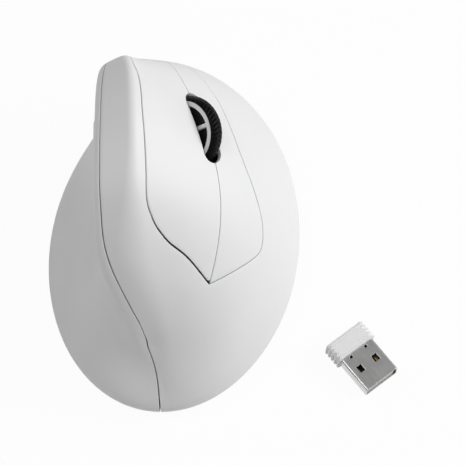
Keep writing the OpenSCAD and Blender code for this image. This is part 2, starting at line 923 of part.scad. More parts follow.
module left_plunger() {
    color(red) at_key_press(left_press) plunger(key_switch_h, key_plunger_r, key_plunger);
}

module right_plunger() {
    color(red) at_key_press(right_press) plunger(key_switch_h, key_plunger_r, key_plunger);
}

module middle_plunger() {
    color(red) at_middle_press() plunger(push_switch_h, push_plunger_r, push_plunger);
}

module forward_plunger() {
    color(red) plunger_at_thumb(-1);
}

module back_plunger() {
    color(red) plunger_at_thumb(1);
}

// Pale rim with its spokes on the left side, where they show through the slot
module wheel_rim() {
    side = tyre_w / 2 - 0.2;
    color(pale)
        in_wheel()
            difference() {
                union() {
                    difference() {
                        rod(rim_r - tyre_fit, [-side, 0, 0], 2 * side);
                        rod(rim_r - rim_t, [-side - 1, 0, 0], 2 * side + 2);
                    }
                    rod(hub_r, [-side + spoke_sunk / 2, 0, 0], side - spoke_sunk / 2 - core_t / 2 - tyre_fit);
                    for (i = [0 : spokes - 1])
                        rotate([360 / spokes * i, 0, 0])
                            box(
                                [-side + spoke_sunk, -spoke_w / 2, hub_r / 2],
                                [-core_t / 2 - 3 * tyre_fit, spoke_w / 2, rim_r - rim_t / 2]
                            );
                }
                rod(axle_r + hold_fit, [-side - 1, 0, 0], 2 * side + 2);
            }
}

// Black disc behind the spokes, with the hub on its right
module wheel_core() {
    color(black)
        in_wheel()
            difference() {
                union() {
                    rod(rim_r - rim_t - tyre_fit, [-core_t / 2, 0, 0], core_t);
                    rod(hub_r, [0, 0, 0], tyre_w / 2);
                }
                rod(axle_r + hold_fit, [-tyre_w, 0, 0], 2 * tyre_w);
            }
}

module wheel_tyre() {
    color(black)
        in_wheel()
            rotate([0, 90, 0])
                rotate_extrude()
                    intersection() {
                        translate([tyre_r - crown_r, 0]) circle(r = crown_r);
                        translate([rim_r, -tyre_w / 2]) square([tyre_r, tyre_w]);
                    }
}

module wheel_axle() {
    color(steel) in_wheel() rod(axle_r, [-arm_out, 0, 0], arm_out * 2 + encoder_size.x - 0.2);
}

module wheel_cradle() {
    color(dark)
        in_wheel()
            difference() {
                union() {
                    for (x = [-arm_out, arm_in])
                        translate([x, 0, 0]) rotate([90, 0, 90]) linear_extrude(arm_t) polygon(cradle_side);
                    box(
                        [-arm_out, cradle_back[0], cradle_side[0].y],
                        [arm_out, cradle_back[1], cradle_side[1].y]
                    );
                    box(
                        [-arm_out, cradle_front[0], cradle_side[5].y],
                        [arm_out, cradle_front[1], tongue_z + tongue_t]
                    );
                    box([tongue_x[0], cradle_front[0], tongue_z], [tongue_x[1], tongue_y, tongue_z + tongue_t]);
                }
                rod(axle_r + run_fit, [-arm_out - 1, 0, 0], 2 * arm_out + 2);
                rod(cradle_pin_r + run_fit, [-arm_out - 1, cradle_pivot.x, cradle_pivot.y], 2 * arm_out + 2);
            }
}

module cradle_pin() {
    l = arm_out + ear_gap + ear_t;
    color(steel) in_wheel() rod(cradle_pin_r, [-l, cradle_pivot.x, cradle_pivot.y], 2 * l);
}

module wheel_encoder() {
    color(dark)
        in_wheel()
            difference() {
                translate([arm_out, -encoder_size.y / 2, encoder_low]) cube(encoder_size);
                rod(axle_r + run_fit, [arm_out - 1, 0, 0], encoder_size.x + 2);
            }
}

module forward_button() {
    color(white) thumb_button(-1);
}

module back_button() {
    color(white) thumb_button(1);
}

module thumb_board() {
    color(green)
        in_thumb()
            box(
                [-thumb_board_size.x / 2, thumb_board_low, thumb_board_out - board_t],
                [thumb_board_size.x / 2, thumb_board_low + thumb_board_size.y, thumb_board_out]
            );
}

module main_board() {
    color(green)
        difference() {
            box(
                [main_board_x[0], main_board_y[0], main_board_z],
                [main_board_x[1], main_board_y[1], main_board_z + board_t]
            );
            translate([sensor_place.x, sensor_place.y, 0]) cylinder(r = lens_barrel_r + 0.1, h = ridge_h);
        }
}

module sensor_chip() {
    color(black)
        translate([sensor_place.x - chip_size.x / 2, sensor_place.y - chip_size.y / 2, main_board_z + board_t])
            cube(chip_size);
}

module sensor_lens() {
    color(pale)
        translate([sensor_place.x, sensor_place.y, 0]) {
            translate([-lens_size.x / 2, -lens_size.y / 2, floor_z]) cube([lens_size.x, lens_size.y, board_lift]);
            translate([0, 0, foot_t + base_t / 2]) cylinder(r = lens_barrel_r, h = base_t / 2 + board_lift + board_t - 0.1);
        }
}

module battery_cell() {
    color(dark)
        translate([cell_place.x, cell_place.y - cell_l / 2, cell_z])
            rotate([-90, 0, 0]) {
                cylinder(d = cell_d, h = cell_l - cell_nub[1]);
                cylinder(r = cell_nub[0], h = cell_l);
            }
}

module battery_contacts() {
    w = cell_d * 0.6;
    color(steel)
        for (end = [0, 1])
            translate([cell_place.x, bay_y[end] - end * contact_t, 0]) {
                translate([-w / 2, 0, floor_z]) cube([w, contact_t, bay_end_h]);
                translate([0, contact_t / 2, cell_z])
                    rotate([end == 0 ? -90 : 90, 0, 0])
                        cylinder(r = cell_nub[0], h = contact_gap + contact_t / 2 - 0.05);
            }
}

module battery_door() {
    color(white)
        difference() {
            box(
                [door_x[0] + door_fit, door_y[0] - door_end / 2, foot_t],
                [door_x[1] - door_fit, door_y[1] - door_fit, foot_t + door_t]
            );
            for (i = [0 : 2])
                translate([cell_place.x, door_y[0] + 3 + 2 * i, foot_t - grip_depth])
                    rotate([0, 0, 90]) linear_extrude(2 * grip_depth) stadium(grip_size.x, grip_size.y);
        }
}

module power_switch() {
    color(dark)
        translate([power_place.x, power_place.y + power_travel / 2, main_board_z - power_body.z])
            difference() {
                translate([-power_body.x / 2, -power_body.y / 2, 0]) cube(power_body);
                translate([0, 0, -1])
                    linear_extrude(1 + power_body.z / 2)
                        square([power_knob.x / 2 + 2 * power_fit, power_body.y - 2], center = true);
            }
}

module power_slider() {
    body_low = main_board_z - power_body.z;
    color(black)
        translate([power_place.x, power_place.y, 0]) {
            translate([0, 0, foot_t + knob_recess])
                linear_extrude(body_low - power_fit - foot_t - knob_recess) stadium(power_knob.x, power_knob.y);
            translate([-power_knob.x / 4, -power_knob.y / 4, body_low - power_fit - 0.1])
                cube([power_knob.x / 2, power_knob.y / 2, power_body.z / 2]);
        }
}

// Ribs and grooves stand one behind the other along the cap
module receiver_cap() {
    rib = cap_l / (2 * cap_ribs - 1);
    color(white)
        in_receiver()
            translate([0, 0, cap_h / 2])
                rotate([90, 0, 90])
                    sculpted()
                        difference() {
                            union() {
                                linear_extrude(cap_l)
                                    rounded_rectangle(cap_w - 2 * rib_depth, cap_h - 2 * rib_depth, cap_corner - rib_depth);
                                for (i = [0 : cap_ribs - 1])
                                    translate([0, 0, 2 * rib * i])
                                        linear_extrude(rib) rounded_rectangle(cap_w, cap_h, cap_corner);
                            }
                            translate([0, 0, cap_l - plug_in])
                                linear_extrude(plug_in + 1)
                                    rounded_rectangle(plug_w + 2 * hold_fit, plug_h + 2 * hold_fit, plug_corner + hold_fit);
                        }
}

module receiver_shell() {
    l = plug_in + plug_l;
    color(steel)
        in_receiver()
            translate([cap_l - plug_in, 0, cap_h / 2])
                difference() {
                    rotate([90, 0, 90])
                        linear_extrude(l)
                            difference() {
                                rounded_rectangle(plug_w, plug_h, plug_corner);
                                rounded_rectangle(plug_w - 2 * plug_t, plug_h - 2 * plug_t, plug_corner - plug_t);
                            }
                    for (side = [-1, 1]) {
                        translate([plug_in + window_place.x, side * window_place.y, 0])
                            cube([window_size.x, window_size.y, plug_h * 2], center = true);
                        translate([plug_in + dimple_place.x, side * dimple_place.y, plug_h / 2])
                            cube([dimple_size.x, dimple_size.y, plug_h], center = true);
                    }
                }
}

module receiver_tongue() {
    color(white)
        in_receiver()
            translate([cap_l - plug_in, 0, cap_h / 2 - plug_h / 2 + plug_t + tongue_fit])
                translate([0, -plug_w / 2 + plug_t + plug_corner, 0])
                    cube([plug_in + plug_l - 0.4, plug_w - 2 * plug_t - 2 * plug_corner, tongue_h]);
}

module receiver_contacts() {
    color(gold)
        in_receiver()
            for (y = contact_pitch)
                translate([
                    cap_l + plug_l - contact_strip.x - 1,
                    y - contact_strip.y / 2,
                    cap_h / 2 - plug_h / 2 + plug_t + tongue_fit + tongue_h
                ])
                    cube(contact_strip);
}

base_plate();
glide_feet();
base_screws();
thumb_shell();
palm_shell();
left_button();
right_button();
key_pivot_pin();
key_frame();
button_board();
left_switch();
right_switch();
middle_switch();
forward_switch();
back_switch();
left_plunger();
right_plunger();
middle_plunger();
forward_plunger();
back_plunger();
wheel_rim();
wheel_core();
wheel_tyre();
wheel_axle();
wheel_cradle();
cradle_pin();
wheel_encoder();
forward_button();
back_button();
thumb_board();
main_board();
sensor_chip();
sensor_lens();
battery_cell();
battery_contacts();
battery_door();
power_switch();
power_slider();
receiver_cap();
receiver_shell();
receiver_tongue();
receiver_contacts();
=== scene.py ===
# %% [markdown]
# # A vertical mouse, dressed
# The construction model of this mouse is already packed: every solid has its place and every joint its range.
# This lesson loads that model as a fixed frame and builds the surfaces that a hand and an eye meet: the white
# casing, the keys, the wheel, the thumb buttons and the small receiver that lies beside it. Each new piece rides on
# the body that carries it, so a click or a turn of the wheel takes the detail along.

# %% Load the frame
import json
import math
import bpy
import bmesh
import numpy as np
from mathutils import Matrix, Vector, geometry, kdtree


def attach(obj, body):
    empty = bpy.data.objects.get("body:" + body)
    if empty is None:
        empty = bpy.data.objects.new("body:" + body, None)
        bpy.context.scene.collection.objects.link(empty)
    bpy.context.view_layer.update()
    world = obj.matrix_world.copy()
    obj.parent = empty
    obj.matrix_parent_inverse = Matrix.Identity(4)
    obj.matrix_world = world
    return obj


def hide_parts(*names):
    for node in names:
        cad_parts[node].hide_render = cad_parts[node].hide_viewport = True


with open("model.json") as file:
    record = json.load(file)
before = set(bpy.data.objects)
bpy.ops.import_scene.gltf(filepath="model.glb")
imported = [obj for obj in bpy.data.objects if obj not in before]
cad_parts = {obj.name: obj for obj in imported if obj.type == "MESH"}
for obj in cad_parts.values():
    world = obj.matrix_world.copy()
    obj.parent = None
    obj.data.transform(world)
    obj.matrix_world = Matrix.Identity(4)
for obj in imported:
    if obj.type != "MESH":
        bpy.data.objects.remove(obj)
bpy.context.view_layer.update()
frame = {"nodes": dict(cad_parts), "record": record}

MM = 0.001

# %% [markdown]
# ## Finishes
# Moulded plastic is never one flat colour. The steel of the mould is spark-eroded, so its skin has a fine even
# grain, and the gloss wanders a little from place to place. One small kit of nodes gives all the finishes: a noise
# for slow mottling, a finer noise for grain that goes to the bump, and a roughness that follows the mottling.
# The noises read object coordinates, so the grain has a real size in metres and stays on the piece when it moves.

finishes = {}


def new_finish(name):
    """An empty node material with its shader and its texture coordinates."""
    paint = bpy.data.materials.new(name)
    paint.use_nodes = True
    tree = paint.node_tree
    shader = tree.nodes["Principled BSDF"]
    place = tree.nodes.new("ShaderNodeTexCoord")
    finishes[name] = paint
    return tree, shader, place


def noise(tree, place, size_mm, detail=3.0, stretch=(1, 1, 1), turn=0.0):
    """A noise whose lumps are about this many millimetres across, stretched along axes turned about the vertical."""
    spread = tree.nodes.new("ShaderNodeMapping")
    spread.vector_type = "TEXTURE"
    spread.inputs["Scale"].default_value = stretch
    spread.inputs["Rotation"].default_value = (0, 0, turn)
    tree.links.new(place.outputs["Object"], spread.inputs["Vector"])
    node = tree.nodes.new("ShaderNodeTexNoise")
    node.inputs["Scale"].default_value = 1 / (size_mm * MM)
    node.inputs["Detail"].default_value = detail
    tree.links.new(spread.outputs["Vector"], node.inputs["Vector"])
    return node.outputs["Fac"]


def ramp(tree, value, stops):
    """Colours along a value: each stop is a place from 0 to 1 and a colour."""
    node = tree.nodes.new("ShaderNodeValToRGB")
    bar = node.color_ramp.elements
    while len(bar) < len(stops):
        bar.new(0.5)
    for stop, (at, colour) in zip(bar, stops):
        stop.position = at
        stop.color = (*colour, 1)
    tree.links.new(value, node.inputs["Fac"])
    return node.outputs["Color"]


def spread_to(tree, value, low, high):
    """A noise's middle range mapped to the range from low to high."""
    node = tree.nodes.new("ShaderNodeMapRange")
    node.inputs["From Min"].default_value = 0.3
    node.inputs["From Max"].default_value = 0.7
    node.inputs["To Min"].default_value = low
    node.inputs["To Max"].default_value = high
    tree.links.new(value, node.inputs["Value"])
    return node.outputs["Result"]


def bump(tree, shader, height, depth_mm, strength):
    """The height as fine relief on the shader."""
    node = tree.nodes.new("ShaderNodeBump")
    node.inputs["Strength"].default_value = strength
    node.inputs["Distance"].default_value = depth_mm * MM
    tree.links.new(height, node.inputs["Height"])
    tree.links.new(node.outputs["Normal"], shader.inputs["Normal"])


def tint(colour, share):
    return tuple(c * share for c in colour)


# %% [markdown]
# The first finish is the white of the casing: a matte, slightly warm white with a grain of about a quarter of a
# millimetre. The other plastics, the rubber and the foot pads are the same recipe with other numbers, so one
# function makes them all.

# %% Plastics and rubber
def plastic(name, colour, rough, grain_mm, grain_depth, mottle=0.02, specular=0.4):
    tree, shader, place = new_finish(name)
    slow = noise(tree, place, 9.0)
    tree.links.new(ramp(tree, slow, [(0.3, tint(colour, 1 - mottle)), (0.7, colour)]), shader.inputs["Base Color"])
    tree.links.new(spread_to(tree, slow, rough - 0.03, rough + 0.03), shader.inputs["Roughness"])
    bump(tree, shader, noise(tree, place, grain_mm, 2.0), grain_depth, 0.5)
    shader.inputs["Specular IOR Level"].default_value = specular


plastic("white_plastic", (0.84, 0.84, 0.845), 0.48, 0.25, 0.006, mottle=0.012)
plastic("pale_plastic", (0.80, 0.80, 0.805), 0.36, 0.3, 0.004)
plastic("black_plastic", (0.012, 0.012, 0.013), 0.42, 0.3, 0.006, mottle=0.2)
plastic("dark_plastic", (0.035, 0.035, 0.038), 0.5, 0.3, 0.008, mottle=0.15)
plastic("rubber", (0.002, 0.002, 0.0022), 0.4, 0.18, 0.02, mottle=0.25, specular=0.12)
plastic("red_plastic", (0.48, 0.03, 0.025), 0.4, 0.3, 0.004, mottle=0.08)
plastic("foot", (0.045, 0.045, 0.048), 0.3, 0.6, 0.003, mottle=0.12)
print("finishes so far:", sorted(finishes))

# %% [markdown]
# Metals come next. The plug of the receiver is drawn sheet steel: it is brushed along its length, so its noise is
# stretched into long streaks that drive the tone and a faint relief, while a slower noise lets the roughness wander.
# Gold contacts and the wrapped cell use the same streaks with other colours.

# %% Metals
def metal(name, colour, rough, stretch, turn=0.0):
    tree, shader, place = new_finish(name)
    lines = noise(tree, place, 0.2, 2.0, stretch, turn)
    slow = noise(tree, place, 5.0)
    tree.links.new(ramp(tree, lines, [(0.35, tint(colour, 0.86)), (0.65, colour)]), shader.inputs["Base Color"])
    tree.links.new(spread_to(tree, slow, rough - 0.02, rough + 0.02), shader.inputs["Roughness"])
    bump(tree, shader, lines, 0.001, 0.08)
    shader.inputs["Metallic"].default_value = 1.0


metal("steel", (0.72, 0.715, 0.71), 0.36, (40, 1, 1), math.radians(-51))
metal("gold", (0.83, 0.60, 0.24), 0.28, (20, 1, 1))
metal("cell", (0.44, 0.46, 0.48), 0.4, (1, 30, 1))

# %% [markdown]
# Circuit boards show their copper through the lacquer: tracks are a touch lighter than the ground between them. A
# brick pattern with thin mortar gives straight tracks at the scale of a real board. The sensor's lens is clear, so
# it lets light through and keeps a faint haze.

# %% Board and lens
tree, shader, place = new_finish("board")
tracks = tree.nodes.new("ShaderNodeTexBrick")
tracks.inputs["Scale"].default_value = 420
tracks.inputs["Mortar Size"].default_value = 0.012
tracks.inputs["Color1"].default_value = (0.012, 0.095, 0.045, 1)
tracks.inputs["Color2"].default_value = (0.016, 0.11, 0.052, 1)
tracks.inputs["Mortar"].default_value = (0.03, 0.19, 0.085, 1)
tree.links.new(place.outputs["Object"], tracks.inputs["Vector"])
tree.links.new(tracks.outputs["Color"], shader.inputs["Base Color"])
tree.links.new(spread_to(tree, noise(tree, place, 4.0), 0.25, 0.36), shader.inputs["Roughness"])

tree, shader, place = new_finish("lens")
haze = noise(tree, place, 3.0)
tree.links.new(ramp(tree, haze, [(0.3, (0.80, 0.84, 0.86)), (0.7, (0.88, 0.9, 0.92))]), shader.inputs["Base Color"])
tree.links.new(spread_to(tree, haze, 0.05, 0.14), shader.inputs["Roughness"])
shader.inputs["Transmission Weight"].default_value = 0.85
print("finishes:", len(finishes))

# %% [markdown]
# The tongue in the receiver's mouth is a sliver of board as well. Its two flat sides are lacquered black, and its cut
# edges show the pale core, so the finish asks which way a face looks: flat sides are dark, edges are light.

# %% Tongue of the receiver
tree, shader, place = new_finish("tongue")
facing = tree.nodes.new("ShaderNodeNewGeometry")
split = tree.nodes.new("ShaderNodeSeparateXYZ")
tree.links.new(facing.outputs["True Normal"], split.inputs["Vector"])
flat_side = tree.nodes.new("ShaderNodeMath")
flat_side.operation = "ABSOLUTE"
tree.links.new(split.outputs["Z"], flat_side.inputs[0])
core_colour, lacquer_colour = (0.6, 0.6, 0.58), (0.006, 0.006, 0.007)
board_colour = ramp(tree, flat_side.outputs[0], [(0.6, core_colour), (0.75, lacquer_colour)])
tree.links.new(board_colour, shader.inputs["Base Color"])
tree.links.new(spread_to(tree, noise(tree, place, 1.0), 0.4, 0.55), shader.inputs["Roughness"])
shader.inputs["Specular IOR Level"].default_value = 0.2

# %% [markdown]
# ## Making a piece
# Every new piece goes through one function: it takes points in millimetres and faces, makes the mesh, gives it a
# finish, rides it on its body and hides the plain solids that it stands for. Edges sharper than the given angle stay
# crisp, and all others shade smoothly.

# %% A piece from points and faces
def add_piece(name, points, faces, body, nodes, slot, sharp=38):
    mesh = bpy.data.meshes.new(name)
    mesh.from_pydata((np.asarray(points, float) * MM).tolist(), [], [[int(i) for i in f] for f in faces])
    work = bmesh.new()
    work.from_mesh(mesh)
    bmesh.ops.dissolve_degenerate(work, edges=work.edges, dist=1e-8)
    bmesh.ops.recalc_face_normals(work, faces=work.faces)
    open_edges = sum(not e.is_manifold for e in work.edges)
    work.to_mesh(mesh)
    work.free()
    mesh.shade_smooth()
    mesh.set_sharp_from_angle(angle=math.radians(sharp))
    mesh.materials.append(finishes[slot])
    piece = bpy.data.objects.new(name, mesh)
    bpy.context.collection.objects.link(piece)
    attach(piece, body)
    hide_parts(*nodes)
    print(name, "has", len(mesh.vertices), "points and", open_edges, "open edges")
    return piece


# %% [markdown]
# ## The skin of the mouse
# The casing is one sculpted surface. A station u goes round the body in degrees, and a height v climbs from the rim
# on the desk (0) over the wall (1 to 2) and the rounded edge of the ridge (2 to 3) to the spine on top (4). At each
# station the wall is a cubic curve that leaves the base ring upright and arrives at the ridge under a chosen angle.
# Writing it as a formula, and not as a sculpted lump, means that every piece can be cut from exactly the same skin,
# so that the shells, the keys and the seams between them always agree.

# %% Sizes of the skin, in millimetres
body_w, body_l, base_lean = 76, 105, 0.137
ring_h, rim_tuck, foot_t = 6, 4, 1
ridge_h, ridge_x, ridge_back, ridge_front = 66.2, -17.4, -38, 35
strip_half, strip_tilt, strip_skew = 5.9, 2.9, 1.6
crowding, front_power, back_power = 20, 0.22, 0.5
ridge_swing = np.array([10.2, 1.3, 0, 0, 0, -0.1])
ridge_drop = np.array([44.2, 20.2, 6.4, 1.2, 0, 1.6])
spine = np.stack([ridge_x + ridge_swing, np.linspace(ridge_back, ridge_front, 6), ridge_h - ridge_drop], 1)
# Handles of the wall's curve in eight directions, from the right by the front, left and back
climb = np.array([30, 29, 27, 10, 4, 4, 4, 17.0])
overhang = np.array([16, 14, 2, -2, -7, -2, 8, 17.0])
drop = np.array([9, 10, 14, 42, 56, 20, 8, 11.0])
edge_round = np.array([2, 1.8, 2, 2.2, 2.2, 2.6, 5, 7.0])


# %% The skin as a formula
def blend(a, b, c, d, f):
    """A smooth curve from b to c that heeds the neighbours a and d."""
    return b + 0.5 * f * (c - a + f * (2 * a - 5 * b + 4 * c - d + f * (3 * (b - c) + d - a)))


def round_the_body(table, angle):
    """A value given in eight directions, smoothly between them."""
    at = (angle % 360) / 45
    i = np.floor(at).astype(int)
    return blend(table[(i - 1) % 8], table[i % 8], table[(i + 1) % 8], table[(i + 2) % 8], at - i)[..., None]


def along(points, t):
    """A smooth open curve through points, t steps from its start."""
    points = np.asarray(points, float)
    n = len(points)
    i = np.clip(np.floor(t).astype(int), 0, n - 2)
    b, c = points[i], points[i + 1]
    a = np.where((i == 0)[..., None], 2 * b - c, points[np.maximum(i - 1, 0)])
    d = np.where((i == n - 2)[..., None], 2 * c - b, points[np.minimum(i + 2, n - 1)])
    return blend(a, b, c, d, (t - i)[..., None])


def unit(v):
    return v / np.maximum(np.linalg.norm(v, axis=-1, keepdims=True), 1e-9)


def base_ring(cos, sin, inset, z):
    x = (body_w / 2 - inset) * cos
    return np.stack([x, (body_l / 2 - inset) * sin + base_lean * x, z + 0 * x], -1)


def skin(u, v):
    """Points of the skin at stations u in degrees and heights v from 0 to 4."""
    angle = u + crowding * np.sin(np.radians(2 * u))
    cos, sin = np.cos(np.radians(angle)), np.sin(np.radians(angle))
    foot = base_ring(cos, sin, 0, ring_h)
    top = along(spine, (sin + 1) / 2 * (len(spine) - 1))
    wide = np.sign(cos) * np.abs(cos) ** np.where(sin > 0, front_power, back_power)
    tilt = strip_tilt * (0.65 + 0.35 * sin)
    corner = top + wide[..., None] * np.stack([strip_half + 0 * sin, strip_skew * np.maximum(sin, 0), tilt], -1)
    level = unit((foot - corner) * [1, 1, 0])
    low = foot + round_the_body(climb, angle) * [0, 0, 1]
    high = corner + round_the_body(overhang, angle) * level - round_the_body(drop, angle) * [0, 0, 1]
    radius = round_the_body(edge_round, angle)
    meet = corner + radius * unit(high - corner)
    reach = np.linalg.norm(top - corner, axis=-1, keepdims=True)
    edge = corner + np.minimum(radius, 0.9 * reach) * unit(top - corner)
    q = np.radians(90 * np.clip(v, 0, 1))
    rim = base_ring(cos, sin, rim_tuck * (1 - np.sin(q)), ring_h - (ring_h - foot_t) * np.cos(q))
    v = v[..., None]
    f, g, h = (np.clip(v - k, 0, 1) for k in (1, 2, 3))
    wall = (1 - f) ** 3 * foot + 3 * f * (1 - f) ** 2 * low + 3 * f**2 * (1 - f) * high + f**3 * meet
    bend = (1 - g) ** 2 * meet + 2 * g * (1 - g) * corner + g**2 * edge
    strip = (1 - h) * edge + h * top
    return np.select([v < 1, v < 2, v < 3], [rim, wall, bend], strip)


print("top of the ridge:", skin(np.array([120.0]), np.array([4.0]))[0].round(2))

# %% [markdown]
# ## Cutting plates from the skin
# A casing plate is a thin wall with a real edge: the moulding rolls over a tenth or two of a millimetre before it
# drops into the seam, and that roll is what draws the fine shaded lines between the parts. To make one, the skin is
# unrolled to a flat chart, the outline is filled with even triangles (a constrained Delaunay triangulation keeps the
# outline exactly), the triangles go back onto the skin, and every open edge is then rolled over and closed with an
# inner wall. A boolean on a dense mesh could cut the same outline, but it would leave ragged edges and no roll.

# %% The unrolled chart
CHART_U = 0.72
CHART_V = [0, 7, 72, 78, 82]


def unroll(uv):
    return np.stack([uv[:, 0] * CHART_U, np.interp(uv[:, 1], range(5), CHART_V)], 1)


def on_the_skin(chart):
    return skin(chart[:, 0] / CHART_U, np.interp(chart[:, 1], CHART_V, range(5)))


def inside(loop, points):
    """Which points lie inside a closed flat loop."""
    x, y = points.T
    hit = np.zeros(len(points), bool)
    for (x0, y0), (x1, y1) in zip(loop, np.roll(loop, -1, 0)):
        if y0 != y1:
            hit ^= ((y0 > y) != (y1 > y)) & (x < (x1 - x0) * (y - y0) / (y1 - y0) + x0)
    return hit


# %% Even triangles inside an outline
def within(loops, points):
    keep = inside(loops[0], points)
    for hole in loops[1:]:
        keep &= ~inside(hole, points)
    return keep


def tree_of(points):
    tree = kdtree.KDTree(len(points))
    for i, p in enumerate(points):
        tree.insert((*p, 0)[:3], i)
    tree.balance()
    return tree


def tile(loops, step):
    """Flat triangles inside the first loop and outside the others."""
    outline = np.concatenate(loops)
    low, high = loops[0].min(0), loops[0].max(0)
    rows = np.arange(low[1] + step / 2, high[1], step * 0.866)
    columns = np.arange(low[0], high[0], step)
    grid = np.array([(x + (k % 2) * step / 2, y) for k, y in enumerate(rows) for x in columns])
    near = tree_of(outline)
    grid = [g for g in grid[within(loops, grid)] if near.find((*g, 0))[2] > 0.55 * step]
    ties, start = [], 0
    for loop in loops:
        ties += [(start + i, start + (i + 1) % len(loop)) for i in range(len(loop))]
        start += len(loop)
    points = [Vector(p) for p in [*outline, *grid]]
    flat, _, faces = geometry.delaunay_2d_cdt(points, ties, [], 1, 1e-7)[:3]
    flat, faces = np.array([tuple(p) for p in flat]), np.array(faces)
    return flat, faces[within(loops, flat[faces].mean(1))]


# %% A plate with rolled edges
def welded(points, faces, reach=0.001):
    """Points closer than the reach become one, and faces that shrink to a line go."""
    tree = tree_of(points)
    first = np.array([min(i for _, i, _ in tree.find_range(p, reach)) for p in points])
    used, faces = np.unique(first[faces], return_inverse=True)
    faces = faces.reshape(-1, 3)
    good = (faces[:, 0] != faces[:, 1]) & (faces[:, 1] != faces[:, 2]) & (faces[:, 2] != faces[:, 0])
    return points[used], faces[good]


def outward(points, faces):
    a, b, c = (points[faces[:, k]] for k in range(3))
    normals = np.zeros_like(points)
    for k in range(3):
        np.add.at(normals, faces[:, k], np.cross(b - a, c - a))
    return unit(normals)


def rolled_plate(loops, lift, step, thick, roll):
    """A closed plate over a chart's loops: top on the lifted surface, edges rolled, underside parallel."""
    flat, faces = tile(loops, step)
    top, faces = welded(lift(flat), faces)
    normal = outward(top, faces)
    sides = {(int(f[k]), int(f[(k + 1) % 3])) for f in faces for k in range(3)}
    rim = {i: j for i, j in sides if (j, i) not in sides}
    before = {j: i for i, j in rim.items()}
    i = np.array(list(rim))
    away = unit(np.cross(top[[rim[k] for k in i]] - top[[before[k] for k in i]], normal[i]))
    rows = [(roll * math.sin(a), roll * (1 - math.cos(a))) for a in (math.pi / 6, math.pi / 3, math.pi / 2)]
    rows.append((roll, thick))
    points = [top, *(top[i] + away * out - normal[i] * down for out, down in rows), top - normal * thick]
    starts = np.cumsum([0] + [len(p) for p in points[:-1]])
    order = {int(k): n for n, k in enumerate(i)}

    def at(row, k):
        return starts[row] + (k if row in (0, len(starts) - 1) else order[k])

    walls = [(at(r, a), at(r + 1, a), at(r + 1, b), at(r, b)) for a, b in rim.items() for r in range(len(starts) - 1)]
    under = faces[:, ::-1] + starts[-1]
    return np.concatenate(points), [*faces.tolist(), *under.tolist(), *walls]


# %% [markdown]
# ## Outlines on the face
# The two long keys lie on the sloping face. Their outline is easiest to draw flat, on a plane that leans with the
# face: p runs down the slope and q runs forward. A point of that drawing has to be found again on the skin, so a
# coarse net of the skin gives a first guess and a few Newton steps bring it home.

# %% The leaning plane of the keys
face_tilt = math.radians(46)
face_at = np.array([12, 0, 50.0])
down_slope = np.array([math.cos(face_tilt), 0, -math.sin(face_tilt)])
forward = np.array([0, 1.0, 0])
out_of_face = np.array([math.sin(face_tilt), 0, math.cos(face_tilt)])


def find_on_skin(drawn, at, axes, u_span, v_span):
    """Stations and heights of the skin's points that lie under a flat drawing with these two axes."""
    low, high = np.array([u_span[0], v_span[0]]), np.array([u_span[1], v_span[1]])
    net = np.stack(np.meshgrid(np.linspace(*u_span, 200), np.linspace(*v_span, 160)), -1).reshape(-1, 2)

    def seen(uv):
        return (skin(uv[:, 0], uv[:, 1]) - at) @ np.stack(axes, 1)

    tree = tree_of(seen(net))
    uv = net[[tree.find((*p, 0))[1] for p in drawn]]
    for _ in range(10):
        here = seen(uv)
        du, dv = seen(uv + [0.02, 0]) - here, seen(uv + [0, 0.002]) - here
        slope = np.stack([du / 0.02, dv / 0.002], -1)
        uv = np.clip(uv + np.linalg.solve(slope, (drawn - here)[..., None])[..., 0], low, high)
    return uv


# %% Lines and offsets on a flat drawing
def smooth_line(points):
    """A smooth line through a few drawn points."""
    return along(points, np.linspace(0, len(points) - 1, 40 * len(points)))


def spaced(line, step, lies=None):
    """The same line with points about a step apart, measured where it lies if that is given."""
    line = np.asarray(line, float)
    far = np.linalg.norm(np.diff(line if lies is None else lies, axis=0), axis=1)
    far = np.concatenate([[0], np.cumsum(far)])
    at = np.linspace(0, far[-1], max(2, round(far[-1] / step) + 1))
    return np.stack([np.interp(at, far, line[:, k]) for k in range(line.shape[1])], 1)


def joined(*lines):
    """Lines end to end as one closed loop, with no point twice."""
    loop = np.concatenate(lines)
    gap = np.linalg.norm(loop - np.roll(loop, 1, 0), axis=1)
    return loop[gap > 0.05]


def grown(loop, by):
    """A closed loop moved outward, or inward where the number is negative."""
    if np.sum(loop[:, 0] * np.roll(loop[:, 1], -1) - loop[:, 1] * np.roll(loop[:, 0], -1)) < 0:
        loop = loop[::-1]
    ahead, back = unit(np.roll(loop, -1, 0) - loop), unit(loop - np.roll(loop, 1, 0))
    turn = np.array([[0, -1], [1, 0]])
    n1, n2 = ahead @ turn, back @ turn
    share = np.maximum(1 + np.sum(n1 * n2, 1, keepdims=True), 0.5)
    moved = loop + by * (n1 + n2) / share
    near = tree_of(spaced(np.concatenate([loop, loop[:1]]), 0.05))
    return moved[[near.find((*p, 0))[2] > 0.95 * abs(by) for p in moved]]


